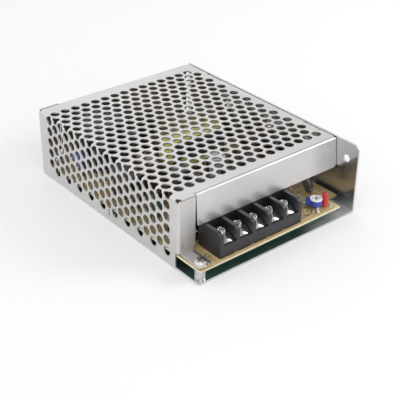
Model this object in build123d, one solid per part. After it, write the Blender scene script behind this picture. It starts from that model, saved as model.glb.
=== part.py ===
from build123d import *
import math
import os

# Enclosed power converter in a folded, perforated sheet case.
# All construction is in a case frame (X along the terminal side, Y to the rear,
# Z up, origin at the outer front-left-bottom corner) and is shifted at export so
# that the row frame has its origin at the centre of the resting face.

# ---------------------------------------------------------------- dimensions
W, L, H = 98.0, 129.0, 36.0            # case: width, length, height
T_CASE = 1.0                           # chassis sheet
T_COVER = 0.8                          # cover sheet
R_IN = 0.5                             # inner bend radius of both sheets
Y_FOLD = 14.4                          # outer face of the cover's front
LIP_X0, LIP_X1 = 10.1, 96.8
LIP_LEN, LIP_LEAN = 14.5, 5.5           # straight length of the front lip; its lower edge leans forward (degrees)
STRIP_X1 = 9.7
SEAM = 0.2
TOP_X1 = 96.6                          # right edge of the cover's top

HOLE_D = 4.6                           # perforation
PITCH_X, PITCH_Y = 6.04, 5.05
ROWS, ROW0_Y, COL0_X = 20, 118.7, 3.8
SIDE_Z_EVEN = 33.5                     # upper hole of an even row in the side

WALL_TOP = 36.2                        # right wall
TAB_HOLE_Y, TAB_HOLE_Z, TAB_HOLE_R = 7.1, 27.4, 1.9

PCB_Z0, PCB_T = 5.7, 1.6
PCB_Z1 = PCB_Z0 + PCB_T
PCB_X0, PCB_X1, PCB_Y0, PCB_Y1 = 1.1, 94.3, 0.35, 127.2
NOTCH_X, NOTCH_Y = 87.7, 8.7
STANDOFFS = [(3.4, 3.3), (90.0, 34.0), (5.2, 122.4), (90.0, 122.4)]
STANDOFF_R, M3_R, M3_HOLE_R = 2.6, 1.45, 1.5
BASE_HOLES = [(10.5, 12.0), (87.5, 12.0), (10.5, 117.0), (87.5, 117.0)]
BASE_HOLE_R = 1.65

TB_X0, TB_PITCH, TB_WALL, POLES = 13.4, 9.5, 1.9, 5
TB_Y0, TB_Y1, TB_TOP = 1.7, 16.6, 20.0
TB_FLOOR, TB_FRONT = 11.6, 13.4
SCREW_Y = 8.2
CONTACT_T = 0.8
CLAMP_Z1, CLAMP_T = 15.65, 0.8         # top of a tightened saddle clamp, its sheet
TERM_R, TERM_END = 1.45, 8.9           # shank of a terminal screw, its lower end

LEAD_END = 4.2                         # leads stop below the board
SIDE_SCREWS = [(30.0, 30.0), (105.0, 30.0)]   # (y, z) on the right wall

RI, RO, ROC = R_IN, R_IN + T_COVER, R_IN + T_CASE
SHIFT = Location((-W / 2, -L / 2, 0))
PARTS = {}
LEADS = []                             # (x, y, hole radius) through the board


# ------------------------------------------------------------------- helpers
def box(x0, x1, y0, y1, z0, z1):
    return Location(((x0 + x1) / 2, (y0 + y1) / 2, (z0 + z1) / 2)) * Box(x1 - x0, y1 - y0, z1 - z0)


def cyl(x, y, z0, z1, r):
    return Location((x, y, (z0 + z1) / 2)) * Cylinder(r, z1 - z0)


def cyl_x(x0, x1, y, z, r):
    return Location(((x0 + x1) / 2, y, z), (0, 90, 0)) * Cylinder(r, x1 - x0)


def cyl_y(x, y0, y1, z, r):
    return Location((x, (y0 + y1) / 2, z), (90, 0, 0)) * Cylinder(r, y1 - y0)


def one(shape):
    got = shape.solids()
    return got[0] if len(got) == 1 else shape


def quarter(axis, lo, hi, ca, cb, sa, sb, r0, r1):
    # quarter ring along an axis: centre (ca, cb) in the other two axes, on the side (sa, sb)
    if axis == "x":
        ring = cyl_x(lo, hi, ca, cb, r1) - cyl_x(lo - 1, hi + 1, ca, cb, r0)
        keep = box(lo, hi, min(ca, ca + sa * r1), max(ca, ca + sa * r1), min(cb, cb + sb * r1), max(cb, cb + sb * r1))
    elif axis == "y":
        ring = cyl_y(ca, lo, hi, cb, r1) - cyl_y(ca, lo - 1, hi + 1, cb, r0)
        keep = box(min(ca, ca + sa * r1), max(ca, ca + sa * r1), lo, hi, min(cb, cb + sb * r1), max(cb, cb + sb * r1))
    else:
        ring = cyl(ca, cb, lo, hi, r1) - cyl(ca, cb, lo - 1, hi + 1, r0)
        keep = box(min(ca, ca + sa * r1), max(ca, ca + sa * r1), min(cb, cb + sb * r1), max(cb, cb + sb * r1), lo, hi)
    return ring & keep


def fuse(items):
    first, rest = items[0], items[1:]
    return first + rest if rest else first


def put(name, shape):
    solids = shape if isinstance(shape, list) else [shape]
    flat = []
    for s in solids:
        flat += list(s.solids())
    PARTS[name] = [s.moved(SHIFT) for s in flat]


def lead(x, y, r=0.35, top=PCB_Z1, bottom=LEAD_END):
    LEADS.append((x, y, r + 0.12))
    return cyl(x, y, bottom, top, r)


def pan_head(r, h, z0, recess=1.1):
    # low crowned head with a cross recess, standing on z0 at the origin
    prof = Polyline((0, z0), (r, z0), (r, z0 + h * 0.45), (r * 0.82, z0 + h * 0.86), (r * 0.45, z0 + h), (0, z0 + h), (0, z0))
    head = revolve(Plane.XZ * make_face(prof), Axis.Z)
    arm = r * 0.56
    cut = box(-arm, arm, -0.28, 0.28, z0 + h - recess, z0 + h + 1) + box(-0.28, 0.28, -arm, arm, z0 + h - recess, z0 + h + 1)
    return head - cut


# ------------------------------------------------------------------- chassis
floor = box(0, W - ROC, 0, L, 0, T_CASE)
floor -= box(-1, 0.9, Y_FOLD + 2.0, L + 1, -1, T_CASE + 1)
wall = box(W - T_CASE, W, 0, L - 0.1, ROC, WALL_TOP)
nose = Plane.YZ * make_face(Polyline((-1, 34.4), (0, 34.4), (2.6, WALL_TOP), (2.6, WALL_TOP + 1), (-1, WALL_TOP + 1), (-1, 34.4)))
wall -= Location((W - T_CASE - 1, 0, 0)) * extrude(nose, T_CASE + 2)
fold = quarter("y", 0, L - 0.1, W - ROC, ROC, 1, -1, RI, ROC)
left_tab = box(0.9, 1.9, 64, 72, T_CASE, 5.0)
side = fuse([fold, wall])
cuts = [cyl(x, y, -1, 2, BASE_HOLE_R) for x, y in BASE_HOLES] + [cyl(x, y, -1, 2, 2.1) for x, y in STANDOFFS]
floor -= cuts
side_cuts = [cyl_x(W - 3, W + 1, TAB_HOLE_Y, TAB_HOLE_Z, TAB_HOLE_R)]
for y, z in SIDE_SCREWS:
    side_cuts.append(Location((W - 0.5, y, z), (0, 90, 0)) * Cone(1.6, 2.6, 1.0))
side -= side_cuts
# the sheet is stored as flat panels that meet face to face at the bends
put("chassis", [floor, side, left_tab])

# ------------------------------------------------------- perforated cover
top = box(RO, TOP_X1, Y_FOLD + RO, L - RO, H - T_COVER, H)
top_left_front = box(RO, STRIP_X1, Y_FOLD + 0.15, Y_FOLD + RO, H - T_COVER, H)
top_left_back = box(RO, 11.8, L - RO, L - T_COVER - SEAM, H - T_COVER, H)
left = box(0, T_COVER, Y_FOLD + RO, L - RO, 0.3, H - RO)
roof_bend = quarter("y", Y_FOLD + RO, L - RO, RO, H - RO, -1, 1, RI, RO)
front_bend = quarter("x", LIP_X0, LIP_X1, Y_FOLD + RO, H - RO, -1, 1, RI, RO)
lean = Location((0, Y_FOLD + RO, H - RO), (-LIP_LEAN, 0, 0))
front_bend -= lean * box(LIP_X0 - 1, LIP_X1 + 1, -2 * RO, 0, -RO, 0)
lip = lean * box(LIP_X0, LIP_X1, -RO, -RI, -LIP_LEN, 0)
post_bend = quarter("z", 8.4, H - T_COVER - SEAM, RO, Y_FOLD + RO, -1, -1, RI, RO)
strip = box(RO, STRIP_X1, Y_FOLD, Y_FOLD + T_COVER, 9.9, H - T_COVER - SEAM)
strip_low = box(1.6, 8.7, Y_FOLD, Y_FOLD + T_COVER, PCB_Z1 + RO, 9.9)
foot_bend = quarter("x", 1.6, 8.7, Y_FOLD - RI, PCB_Z1 + RO, 1, -1, RI, RO)
foot = box(1.2, 8.7, 1.5, Y_FOLD - RI, PCB_Z1, PCB_Z1 + T_COVER) - box(0, 1.6, 7.5, 20, 5, 10)
back_bend = quarter("x", 12.2, 95.4, L - RO, H - RO, 1, 1, RI, RO)
back = box(12.2, 95.4, L - T_COVER, L, 2.0, H - RO)
back_post = quarter("z", 1.3, H - 0.05, RO, L - RO, -1, 1, RI, RO)
back_strip = box(RO, 11.8, L - T_COVER, L, 9.9, H - 0.05)
back_low = box(2.0, 9.4, L - T_COVER, L, PCB_Z1 + RO, 9.9)
back_foot_bend = quarter("x", 2.0, 9.4, L - T_COVER - RI, PCB_Z1 + RO, 1, -1, RI, RO)
back_foot = box(2.0, 9.4, 118.6, L - T_COVER - RI, PCB_Z1, PCB_Z1 + T_COVER)
# folded side tabs that take the side screws
tabs = []
for y, z in SIDE_SCREWS:
    tab = fuse([quarter("y", y - 5, y + 5, 96.95 - RO, H - RO, 1, 1, RI, RO),
                box(96.95 - T_COVER, 96.95, y - 5, y + 5, z - 4.5, H - RO)])
    tabs.append(tab - cyl_x(95, 98, y, z, M3_HOLE_R))
top = fuse([top, top_left_front, top_left_back]) - [box(96.95 - RO, 98, y - 5, y + 5, H - T_COVER - 1, H + 1) for y, z in SIDE_SCREWS]
left = fuse([left, roof_bend])
lip = fuse([front_bend, lip])
strip = fuse([post_bend, strip, strip_low])
foot = fuse([foot_bend, foot])
back = fuse([back_bend, back])
back_strip = fuse([back_post, back_strip, back_low])
back_foot = fuse([back_foot_bend, back_foot])
relief = [cyl(0.9, Y_FOLD + 0.9, H - 2.2, H + 1, 1.3), cyl(0.75, L - 0.75, H - 2.2, H + 1, 0.9)]
top_cuts, left_cuts = [], [box(-1, 2, 67.7, 68.3, 2.5, 6.7), box(-1, RO + 1, Y_FOLD - 1, Y_FOLD + 2.1, -1, 8.4)]
for r in range(ROWS):
    y = ROW0_Y - r * PITCH_Y
    odd = r % 2
    x0 = COL0_X + (PITCH_X / 2 if odd else 0)
    for k in range(15):
        top_cuts.append(cyl(x0 + k * PITCH_X, y, H - 1.6, H + 1, HOLE_D / 2))
    for k in range(5):
        z = SIDE_Z_EVEN - k * PITCH_X - (PITCH_X / 2 if odd else 0)
        left_cuts.append(cyl_x(-1, 0.85, y, z, HOLE_D / 2))
    if odd:                                                                       # hole that wraps the fold
        wrap = Location((0.4, y, H - 0.4), (0, -45, 0)) * Cylinder(HOLE_D / 2 - 0.1, 5.2)
        top_cuts.append(wrap)
        left_cuts.append(wrap)
top -= top_cuts + relief
left -= left_cuts + relief
strip -= relief + [box(-1, RO + 1, Y_FOLD - 1, Y_FOLD + 2.1, -1, 8.4)]
back_strip -= relief
foot -= cyl(STANDOFFS[0][0], STANDOFFS[0][1], 6, 10, 1.7)
back_foot -= cyl(STANDOFFS[2][0], STANDOFFS[2][1], 6, 10, 1.7)
put("perforated_cover", [top, left, lip, strip, foot, back, back_strip, back_foot] + tabs)

# ---------------------------------------------------------------- fasteners
stand, screws, washers = [], [], []
for i, (x, y) in enumerate(STANDOFFS):
    body = cyl(x, y, T_CASE, PCB_Z0, STANDOFF_R) + cyl(x, y, 0.0, T_CASE, 2.1)
    body -= cyl(x, y, 0.6, PCB_Z0 + 1, M3_HOLE_R)
    body -= [Location((x, y, PCB_Z0)) * (Cylinder(STANDOFF_R + 1, 0.6) - Cone(STANDOFF_R, STANDOFF_R - 0.3, 0.6))]
    stand.append(body)
    seat = PCB_Z1 + (T_COVER if i in (0, 2) else 0.0)
    washers.append(cyl(x, y, seat, seat + 0.5, 3.15) - cyl(x, y, seat - 1, seat + 1, 1.6))
    screw = pan_head(2.85, 2.1, seat + 0.5) + cyl(0, 0, 2.2, seat + 0.5, M3_R)
    turn = (20, 65, 40, 80)[i]
    screws.append(Location((x, y, 0), (0, 0, turn)) * screw)
put("board_standoffs", stand)
put("screw_washers", washers)
put("board_screws", screws)
side = []
for y, z in SIDE_SCREWS:
    s = Cone(1.55, 2.5, 0.95)
    s = Location((0, 0, -0.475)) * s
    s += cyl(0, 0, -6.0, -0.95, M3_R)
    s -= [box(-1.5, 1.5, -0.25, 0.25, -0.7, 1), box(-0.25, 0.25, -1.5, 1.5, -0.7, 1)]
    side.append(Location((W - 0.02, y, z), (0, 90, 0)) * s)
put("side_screws", side)

# ------------------------------------------------------------ terminal block
tb_x1 = TB_X0 + POLES * TB_PITCH + TB_WALL
bays = [TB_X0 + TB_WALL + (TB_PITCH - TB_WALL) / 2 + k * TB_PITCH for k in range(POLES)]
profile = make_face(Polyline((TB_Y0, PCB_Z1), (TB_Y1, PCB_Z1), (TB_Y1, TB_TOP), (TB_Y0 + 2.3, TB_TOP), (TB_Y0 + 0.9, 19.1),
                             (TB_Y0, 17.6), (TB_Y0, PCB_Z1)))
housing = Location((TB_X0, 0, 0)) * extrude(Plane.YZ * profile, tb_x1 - TB_X0)
cuts = []
for x in bays:
    half = (TB_PITCH - TB_WALL) / 2
    cuts.append(box(x - half, x + half, TB_Y0 + 1.2, 13.6, TB_FLOOR, TB_TOP + 1))
    cuts.append(box(x - half, x + half, TB_Y0 - 1, TB_Y0 + 1.3, TB_FRONT, TB_TOP + 1))
    cuts.append(cyl(x, SCREW_Y, PCB_Z1 - 1, TB_FLOOR + 1, 2.1))
    cuts.append(cyl(x, 12.2, PCB_Z1 - 1, TB_FLOOR + 1, 0.75))
# moulded feet gaps along the front bottom edge
for k in range(1, POLES):
    x = TB_X0 + TB_WALL / 2 + k * TB_PITCH - 0.6
    cuts.append(box(x - 1.5, x + 1.5, TB_Y0 - 1, TB_Y0 + 2.6, PCB_Z1 - 1, PCB_Z1 + 0.6))
housing -= cuts
put("terminal_block_housing", housing)

contacts = []
for x in bays:
    plate = box(x - 3.6, x + 3.6, 3.1, 13.4, TB_FLOOR, TB_FLOOR + CONTACT_T)
    plate -= [cyl(x, SCREW_Y, TB_FLOOR - 1, TB_FLOOR + 2, TERM_R + 0.05), box(x - 3.7, x - 2.2, 12.0, 13.5, 11, 13), box(x + 2.2, x + 3.7, 12.0, 13.5, 11, 13)]
    pin = lead(x, 12.2, 0.6, TB_FLOOR)
    contacts.append(plate + pin)
put("terminal_contacts", contacts)

saddle = make_face(Polyline((3.1, 12.42), (3.1, 13.2), (5.3, CLAMP_Z1), (11.1, CLAMP_Z1), (13.3, 13.2), (13.3, 12.42), (12.8, 12.42),
                            (10.75, CLAMP_Z1 - CLAMP_T), (5.65, CLAMP_Z1 - CLAMP_T), (3.6, 12.42), (3.1, 12.42)))
for k, x in enumerate(bays):
    # bent plate with both edges turned down on the contact plate
    clamp = Location((x - 3.4, 0, 0)) * extrude(Plane.YZ * saddle, 6.8)
    clamp -= cyl(x, SCREW_Y, CLAMP_Z1 - 2, CLAMP_Z1 + 1, TERM_R + 0.08)
    put("clamp_plate_%d" % (k + 1), clamp)
    head_z = CLAMP_Z1 + 0.02
    screw = pan_head(2.75, 2.35, head_z, 1.3)
    slot = box(-3.0, 3.0, -0.35, 0.35, head_z + 1.35, head_z + 4)
    screw -= slot
    screw += cyl(0, 0, TERM_END, head_z, TERM_R)
    turn = (12, 58, 30, 75, 44)[k]
    put("terminal_screw_%d" % (k + 1), Location((x, SCREW_Y, 0), (0, 0, turn)) * screw)

# ------------------------------------------------------- trimmer, lamp, small can
TR_X, TR_Y, TR_A = 77.9, 7.0, -43.0
at = Location((TR_X, TR_Y, 0), (0, 0, TR_A))
base = cyl(0, 0, 8.95, 11.6, 3.08) + box(-5.0, 0, -1.7, 1.7, 8.95, 11.6)
base -= [cyl(0, 0, 8, 12, 0.82)]
put("trimmer_base", at * base)
dial = cyl(0, 0, 11.65, 12.3, 3.05)
dial = dial.fillet(0.2, dial.edges().filter_by(GeomType.CIRCLE).sort_by(Axis.Z)[-1:])
dial += cyl(0, 0, 9.3, 11.65, 0.78)
dial -= [box(-1.9, 1.9, -0.35, 0.35, 11.95, 13), box(-0.35, 0.35, -1.9, 1.9, 11.95, 13), box(2.2, 2.8, -0.25, 0.25, 12.1, 13)]
put("trimmer_dial", at * dial)
# a bent flat leg at the front, two straight legs under the base and the tail
pins = []
FA = -129.6
fc, fs = math.cos(math.radians(FA)), math.sin(math.radians(FA))
leg = make_face(Polyline((1.6, 8.55), (1.6, 8.93), (3.25, 8.93), (5.15, PCB_Z1), (4.6, PCB_Z1), (3.05, 8.55), (1.6, 8.55)))
leg = Location((TR_X, TR_Y, 0), (0, 0, FA)) * (Location((0, 1.85, 0)) * extrude(Plane.XZ * leg, 1.7))
fx_, fy_ = TR_X + 4.85 * fc - 1.0 * fs, TR_Y + 4.85 * fs + 1.0 * fc
pins.append(leg + lead(fx_, fy_, 0.4, PCB_Z1 + 0.15))
for px, py in ((-4.2, 0.0), (2.4, 0.0)):
    c, s = math.cos(math.radians(TR_A)), math.sin(math.radians(TR_A))
    gx, gy = TR_X + c * px - s * py, TR_Y + s * px + c * py
    foot_ = Location((gx, gy, (PCB_Z1 + 8.93) / 2), (0, 0, TR_A)) * Box(0.5, 1.5, 8.93 - PCB_Z1)
    pins.append(foot_ + lead(gx, gy, 0.4, PCB_Z1))
put("trimmer_pins", pins)

LED_X, LED_Y = 82.05, 5.0
lens = cyl(LED_X, LED_Y, 8.9, 13.45, 1.45) + Location((LED_X, LED_Y, 13.45)) * Sphere(1.45) + cyl(LED_X, LED_Y, 8.1, 8.9, 1.8)
lens -= [cyl(LED_X - 1.27 * 0.5, LED_Y + 1.27 * 0.86, 7.8, 8.7, 0.3), cyl(LED_X + 1.27 * 0.5, LED_Y - 1.27 * 0.86, 7.8, 8.7, 0.3)]
put("indicator_lamp", lens)
put("lamp_leads", [lead(LED_X - 1.27 * 0.5, LED_Y + 1.27 * 0.86, 0.25, 8.65), lead(LED_X + 1.27 * 0.5, LED_Y - 1.27 * 0.86, 0.25, 8.65)])


def can(x, y, z0, r, h, pitch, angle=0.0, lead_r=0.3):
    # radial capacitor can: crimped foot, scored top, two leads
    body = cyl(x, y, z0, z0 + h, r)
    body = body.fillet(min(0.6, r * 0.15), body.edges().filter_by(GeomType.CIRCLE))
    body -= [cyl(x, y, z0 + 1.4, z0 + 2.2, r + 1) - cyl(x, y, z0, z0 + 4, r - 0.35)]
    s = r * 0.55
    body -= [box(x - s, x + s, y - 0.12, y + 0.12, z0 + h - 0.2, z0 + h + 1), box(x - 0.12, x + 0.12, y - s, y + s, z0 + h - 0.2, z0 + h + 1)]
    dx, dy = math.cos(math.radians(angle)) * pitch / 2, math.sin(math.radians(angle)) * pitch / 2
    return one(fuse([body, lead(x - dx, y - dy, lead_r, z0 + 0.4), lead(x + dx, y + dy, lead_r, z0 + 0.4)]))


# leaning can beside the lamp
lean = cyl(0, 0, 0, 11.0, 2.25)
lean = lean.fillet(0.4, lean.edges().filter_by(GeomType.CIRCLE))
lean -= [cyl(0, 0, 1.2, 1.8, 4) - cyl(0, 0, 0, 3, 1.95)]
lean = Location((85.0, 18.3, 9.6), (0, -28, 0)) * lean
put("leaning_capacitor", one(fuse([lean] + [lead(84.9, 18.3 + dy, 0.25, 10.0) for dy in (-1.0, 1.0)])))

# ---------------------------------------------------------------- transformer
TX, TY = 53.2, 71.3
core = []
for z0, z1, zy0, zy1 in ((9.6, 19.75, 9.6, 15.4), (19.8, 30.0, 24.2, 30.0)):
    half = box(TX - 16.5, TX + 16.5, TY - 6.35, TY + 6.35, z0, z1)
    lo, hi = (zy1, z1 + 1) if z0 < 15 else (z0 - 1, zy0)
    half -= [box(TX - 12.0, TX - 4.9, TY - 7, TY + 7, lo, hi), box(TX + 4.9, TX + 12.0, TY - 7, TY + 7, lo, hi)]
    core.append(half)
put("transformer_core", core)
bob = box(TX - 11.6, TX + 11.6, TY - 11.8, TY + 11.8, 15.6, 16.4) + box(TX - 11.6, TX + 11.6, TY - 11.8, TY + 11.8, 23.2, 24.0)
bob += box(TX - 6.0, TX + 6.0, TY - 7.6, TY + 7.6, 15.6, 24.0)
for sy in (-1, 1):
    y0, y1 = sorted((TY + sy * 6.7, TY + sy * 12.6))
    bob += box(TX - 12.5, TX + 12.5, y0, y1, PCB_Z1 + 0.5, 13.2)
    bob += box(TX - 11.6, TX + 11.6, y0, y1, 13.2, 15.6)
bob -= box(TX - 5.05, TX + 5.05, TY - 6.5, TY + 6.5, 10, 30)
put("transformer_bobbin", bob)
wind = box(TX - 11.2, TX + 11.2, TY - 11.2, TY + 11.2, 16.45, 23.15)
wind = wind.fillet(2.6, wind.edges().filter_by(Axis.Z))
wind -= box(TX - 6.05, TX + 6.05, TY - 7.65, TY + 7.65, 10, 30)
put("transformer_winding", wind)
tape = box(TX - 16.75, TX + 16.75, TY - 5.9, TY + 4.7, 9.35, 30.25) - box(TX - 16.5, TX + 16.5, TY - 7, TY + 7, 9.6, 30.0)
put("core_tape", tape)
tpins = []
for k in range(5):
    for sy in (-1, 1):
        tpins.append(lead(TX - 10 + 5 * k, TY + sy * 10.6, 0.4, 9.0))
put("transformer_pins", tpins)
bob -= [cyl(TX - 10 + 5 * k, TY + sy * 10.6, 7, 9.0, 0.42) for k in range(5) for sy in (-1, 1)]
put("transformer_bobbin", bob)

# ------------------------------------------------------------- capacitors
OUT_CANS = [(49.3, 48.2), (60.2, 34.6), (47.2, 34.0)]
put("output_capacitors", [can(x, y, PCB_Z1 + 0.1, 5.0, 20.4, 5.0, 90) for x, y in OUT_CANS])
SMALL_CANS = [(29.6, 51.0), (37.6, 101.5)]
put("small_capacitors", [can(x, y, PCB_Z1 + 0.1, 3.15 if i else 4.0, 15.5 if i else 18.5, 2.5, 20, 0.25) for i, (x, y) in enumerate(SMALL_CANS)])
put("bulk_capacitor", can(22.5, 106.0, PCB_Z1 + 0.1, 11.0, 26.0, 10.0, 0, 0.6))


def block_cap(x0, x1, y0, y1, h, leads, r=0.35):
    b = box(x0, x1, y0, y1, PCB_Z1 + 0.3, PCB_Z1 + h)
    b = b.fillet(0.6, b.edges().filter_by(Axis.Z) + b.edges().group_by(Axis.Z)[-1])
    return one(fuse([b] + [lead(px, py, r, PCB_Z1 + 0.9) for px, py in leads]))


put("mains_film_capacitor", block_cap(9.0, 17.5, 62.0, 80.0, 15.0, [(13.2, 63.6), (13.2, 78.4)], 0.4))
put("snubber_capacitor", block_cap(25.0, 31.0, 68.0, 80.5, 14.5, [(28.0, 70.0), (28.0, 78.5)]))
put("brown_film_capacitor", block_cap(36.5, 41.0, 43.0, 53.0, 12.5, [(38.7, 44.4), (38.7, 51.6)], 0.3))


def disc(x, y, zc, r, t, span):
    # disc standing in the YZ plane
    d = cyl_x(x - t / 2, x + t / 2, y, zc, r)
    d = d.fillet(t * 0.32, d.edges().filter_by(GeomType.CIRCLE))
    l = [lead(x, y - span / 2, 0.3, zc - r * 0.55), lead(x, y + span / 2, 0.3, zc - r * 0.55)]
    return one(fuse([d] + l))


put("safety_capacitors", [disc(6.6, 103.0, 16.6, 5.2, 3.6, 7.5), disc(6.2, 55.5, 15.4, 4.4, 3.4, 7.5), disc(44.6, 96.5, 15.4, 4.2, 3.4, 7.5)])
put("thermistor", disc(9.5, 44.0, 16.0, 5.4, 4.2, 6.0))

# ------------------------------------------------------------ mains choke, fuse
CX, CY = 25.0, 33.0
ck = box(CX - 9, CX + 9, CY - 3.4, CY + 3.4, 9.6, 27.6) - box(CX - 4.4, CX + 4.4, CY - 4, CY + 4, 14.2, 23.0)
put("choke_core", ck)
chw = []
for sx in (-1, 1):
    xc = CX + sx * 6.7
    ring = box(xc - 4.1, xc + 4.1, CY - 5.4, CY + 5.4, 14.6, 22.6)
    ring = ring.fillet(1.6, ring.edges().filter_by(Axis.Z))
    ring -= box(xc - 2.38, xc + 2.38, CY - 3.5, CY + 3.5, 10, 30)
    ring = ring & (box(CX - 30, CX - 0.3, 0, 99, 0, 40) if sx < 0 else box(CX + 0.3, CX + 30, 0, 99, 0, 40))
    chw.append(ring)
put("choke_windings", chw)
cb = box(CX - 10, CX + 10, CY - 6.6, CY + 6.6, PCB_Z1 + 0.3, 9.5)
cb -= [cyl(CX + a, CY + b, 5, 9, 0.47) for a in (-7.5, 7.5) for b in (-5, 5)]
put("choke_base", cb)
put("choke_pins", [lead(CX + a, CY + b, 0.4, 8.9) for a in (-7.5, 7.5) for b in (-5, 5)])

FX, FZ = 11.8, 11.0
tube = cyl_y(FX, 20.2, 34.2, FZ, 2.4) - cyl_y(FX, 19, 36, FZ, 1.9)
put("fuse_tube", tube)
caps = []
for y0, y1 in ((17.8, 21.8), (32.6, 36.6)):
    c = cyl_y(FX, y0, y1, FZ, 2.65)
    hollow = cyl_y(FX, 20.1, 34.3, FZ, 2.45)
    c -= hollow
    caps.append(c)
put("fuse_caps", caps)
clips = []
for y in (19.6, 34.8):
    c = box(FX - 3.0, FX + 3.0, y - 1.2, y + 1.2, PCB_Z1, 13.4) - [cyl_y(FX, 10, 50, FZ, 2.68), box(FX - 1.9, FX + 1.9, 10, 50, FZ, 20), box(FX - 2.4, FX + 2.4, 10, 50, PCB_Z1 + 0.6, FZ - 2.0)]
    clips.append(one(fuse([c, lead(FX, y, 0.5, PCB_Z1 + 0.3)])))
put("fuse_clips", clips)

# ------------------------------------------------- power devices on the right
HS_X0, HS_X1 = 93.2, 96.9
bar = box(HS_X0, HS_X1, 44.0, 99.0, 9.0, 31.0)
bar = bar.chamfer(0.6, None, bar.edges().filter_by(Axis.Y))
DEVICES = [(56.0, 5.4), (88.0, 5.4)]
bar -= [cyl_x(92, 98, y, 26.5, 1.3) for y, _ in DEVICES]
put("heat_spreader", bar)
pads, tabs_, bodies_, cl_screws = [], [], [], []
for y, _ in DEVICES:
    pads.append(box(92.9, 93.2, y - 6.0, y + 6.0, 10.0, 30.5) - cyl_x(90, 95, y, 26.5, 1.7))
    tab_ = box(91.6, 92.9, y - 5.0, y + 5.0, 11.2, 29.6) - cyl_x(90, 95, y, 26.5, 1.8)
    epoxy = box(88.4, 91.6, y - 5.0, y + 5.0, 11.2, 20.4)
    legs = []
    for d in (-2.54, 0, 2.54):
        leg = box(89.7, 90.3, y + d - 0.4, y + d + 0.4, PCB_Z1, 11.6)
        legs.append(leg + lead(90.0, y + d, 0.38, PCB_Z1))
    tabs_.append(tab_)
    bodies_.append(one(fuse([epoxy] + legs)))
    s = cyl_x(88.9, 95.8, y, 26.5, 1.25)
    hd = Location((91.1, y, 26.5), (0, -90, 0)) * pan_head(2.6, 2.0, 0.0)
    w = cyl_x(91.1, 91.6, y, 26.5, 3.0)
    cl_screws.append(one(fuse([cyl_x(91.0, 95.8, y, 26.5, 1.25), hd, w])))
put("thermal_pads", pads)
put("device_tabs", tabs_)
put("power_devices", bodies_)
put("device_screws", cl_screws)

# bridge rectifier
br = box(40.0, 60.0, 112.0, 115.6, PCB_Z1 + 1.2, 22.0)
br = br.chamfer(0.8, None, br.edges().filter_by(Axis.Y).group_by(Axis.Z)[-1])
br = one(fuse([br] + [lead(43.0 + 4.6 * k, 113.8, 0.45, PCB_Z1 + 1.6) for k in range(4)]))
put("bridge_rectifier", br)

# output choke: ring lying flat on a clip of its own leads
OX, OY, OZ = 73.5, 47.5, 14.0
ring = cyl(OX, OY, OZ - 4.2, OZ + 4.2, 10.6) - cyl(OX, OY, OZ - 6, OZ + 6, 6.4)
ring = ring.fillet(0.8, ring.edges().filter_by(GeomType.CIRCLE))
put("output_choke_core", ring)
cw = cyl(OX, OY, OZ - 5.6, OZ + 5.6, 12.0) - [cyl(OX, OY, OZ - 7, OZ + 7, 4.9), cyl(OX, OY, OZ - 4.3, OZ + 4.3, 10.7) - cyl(OX, OY, OZ - 4.3, OZ + 4.3, 6.3)]
gap = Location((OX, OY, OZ)) * extrude(make_face(Polyline((0, 0), (20, -5), (20, 5), (0, 0))), 8, both=True)
cw -= gap
cw = one(cw)
la = lead(OX + 3.0, OY + 11.0, 0.5, OZ - 5.0)
lb = lead(OX + 3.0, OY - 11.0, 0.5, OZ - 5.0)
put("output_choke_winding", one(fuse([cw, la, lb])))


# chips
def dip(x, y, nx, w):
    body = box(x - nx * 1.27, x + nx * 1.27, y - w / 2, y + w / 2, PCB_Z1 + 0.5, PCB_Z1 + 3.9)
    body = body.chamfer(0.3, None, body.edges().group_by(Axis.Z)[-1])
    legs = []
    for k in range(nx):
        for s in (-1, 1):
            px, py = x - (nx - 1) * 1.27 + 2.54 * k, y + s * 3.81
            lo, hi = sorted((y + s * w / 2, py))
            legs.append(box(px - 0.5, px + 0.5, lo - 0.15, hi + 0.15, PCB_Z1 + 1.8, PCB_Z1 + 2.1) + box(px - 0.5, px + 0.5, py - 0.15, py + 0.15, PCB_Z1, PCB_Z1 + 2.1) + lead(px, py, 0.28, PCB_Z1 + 0.4))
    return one(fuse([body] + legs))


put("control_chip", dip(56.0, 96.5, 4, 6.3))
put("optocoupler", dip(72.0, 92.0, 2, 6.3))


# resistors and diodes lying on the board
def axial(x, y, along, length, r, span):
    z = PCB_Z1 + r + 0.15
    if along == "x":
        b = cyl_x(x - length / 2, x + length / 2, y, z, r)
        b = b.fillet(r * 0.3, b.edges().filter_by(GeomType.CIRCLE))
        w = cyl_x(x - span / 2, x + span / 2, y, z, 0.3)
        e = [(x - span / 2, y), (x + span / 2, y)]
    else:
        b = cyl_y(x, y - length / 2, y + length / 2, z, r)
        b = b.fillet(r * 0.3, b.edges().filter_by(GeomType.CIRCLE))
        w = cyl_y(x, y - span / 2, y + span / 2, z, 0.3)
        e = [(x, y - span / 2), (x, y + span / 2)]
    return one(fuse([b, w] + [lead(a, c, 0.3, z) for a, c in e] + [Location((a, c, z)) * Sphere(0.3) for a, c in e]))


put("power_resistor", axial(66.0, 106.0, "x", 14.0, 2.4, 19.0))
put("signal_resistors", [axial(64.5, 85.5, "x", 6.2, 1.1, 10.2), axial(77.5, 85.5, "x", 6.2, 1.1, 10.2), axial(78.5, 27.0, "y", 6.2, 1.1, 10.2),
                         axial(70.5, 27.5, "y", 6.2, 1.1, 10.2), axial(36.0, 88.0, "x", 6.2, 1.1, 10.2), axial(80.0, 100.5, "x", 6.2, 1.1, 10.2)])
put("signal_diodes", [axial(33.9, 60.5, "x", 5.0, 1.3, 9.0), axial(24.0, 60.5, "x", 5.0, 1.3, 10.0), axial(73.0, 79.5, "x", 5.0, 1.3, 10.0)])

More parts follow.
